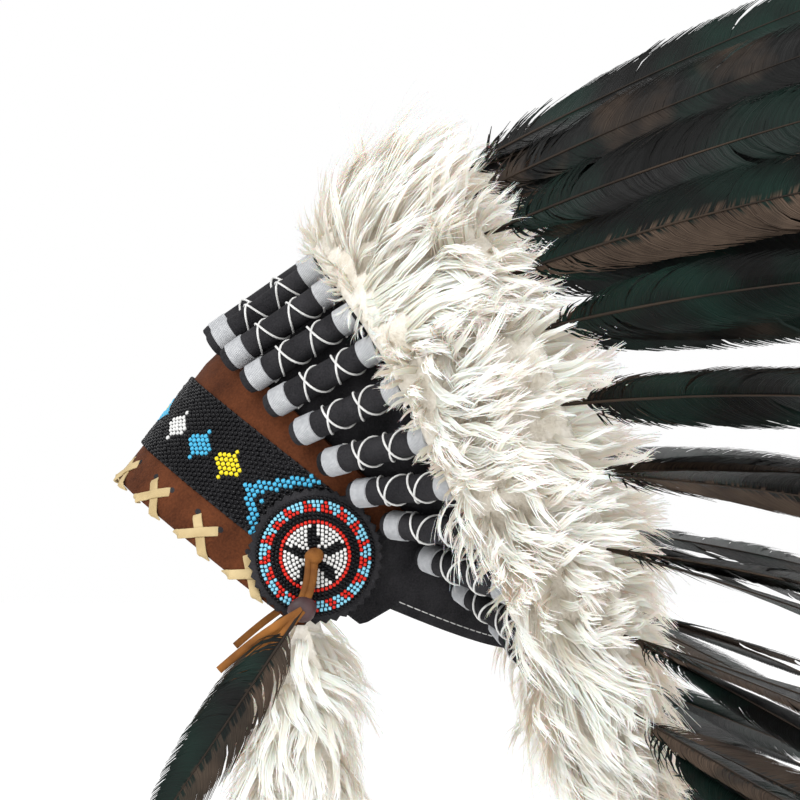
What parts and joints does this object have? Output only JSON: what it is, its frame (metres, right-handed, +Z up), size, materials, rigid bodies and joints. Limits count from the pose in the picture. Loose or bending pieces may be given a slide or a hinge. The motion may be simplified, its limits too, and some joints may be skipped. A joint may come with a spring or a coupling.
{
  "type": "feathered headdress",
  "caption": "Feathered headdress: beaded suede brow band with rosettes, felt-wrapped quills, white fur collar, long black feathers and fur drops.",
  "frame": {"origin": "centre of the head ring, at the middle height of the beaded strip", "axes": "+Z up, the wearer faces -X, +Y to the wearer's right; the ring leans back 37.6 degrees"},
  "size_m": [0.3848, 0.6692, 0.4821],
  "materials": {
    "brown_suede": "matte nap",
    "black_beads": "glossy seed beads",
    "black_felt": "matte felt",
    "white_fur": "long soft fur",
    "rosette_beads": "glossy seed beads",
    "thong_leather": "matte",
    "black_feather": "satin barbs"
  },
  "bodies": {
    "root": {"brow_band": "brown_suede", "beaded_strip": "black_beads", "felt_ring": "black_felt", "felt_collar": "black_felt", "fur_collar": "white_fur", "rosette_left": "rosette_beads", "thong_drop_left": "thong_leather", "fur_drop_left": "white_fur", "rosette_right": "rosette_beads", "thong_drop_right": "thong_leather", "fur_drop_right": "white_fur", "quill_front": "black_felt", "feather_front": "black_feather", "quill_left_01": "black_felt", "feather_left_01": "black_feather", "quill_left_02": "black_felt", "feather_left_02": "black_feather", "quill_left_03": "black_felt", "feather_left_03": "black_feather", "quill_left_04": "black_felt", "feather_left_04": "black_feather", "quill_left_05": "black_felt", "feather_left_05": "black_feather", "quill_left_06": "black_felt", "feather_left_06": "black_feather", "quill_left_07": "black_felt", "feather_left_07": "black_feather", "quill_left_08": "black_felt", "feather_left_08": "black_feather", "quill_left_09": "black_felt", "feather_left_09": "black_feather", "quill_left_10": "black_felt", "feather_left_10": "black_feather", "quill_left_11": "black_felt", "feather_left_11": "black_feather", "quill_right_01": "black_felt", "feather_right_01": "black_feather", "quill_right_02": "black_felt", "feather_right_02": "black_feather", "quill_right_03": "black_felt", "feather_right_03": "black_feather", "quill_right_04": "black_felt", "feather_right_04": "black_feather", "quill_right_05": "black_felt", "feather_right_05": "black_feather", "quill_right_06": "black_felt", "feather_right_06": "black_feather", "quill_right_07": "black_felt", "feather_right_07": "black_feather", "quill_right_08": "black_felt", "feather_right_08": "black_feather", "quill_right_09": "black_felt", "feather_right_09": "black_feather", "quill_right_10": "black_felt", "feather_right_10": "black_feather", "quill_right_11": "black_felt", "feather_right_11": "black_feather"}
  },
  "joints": []
}
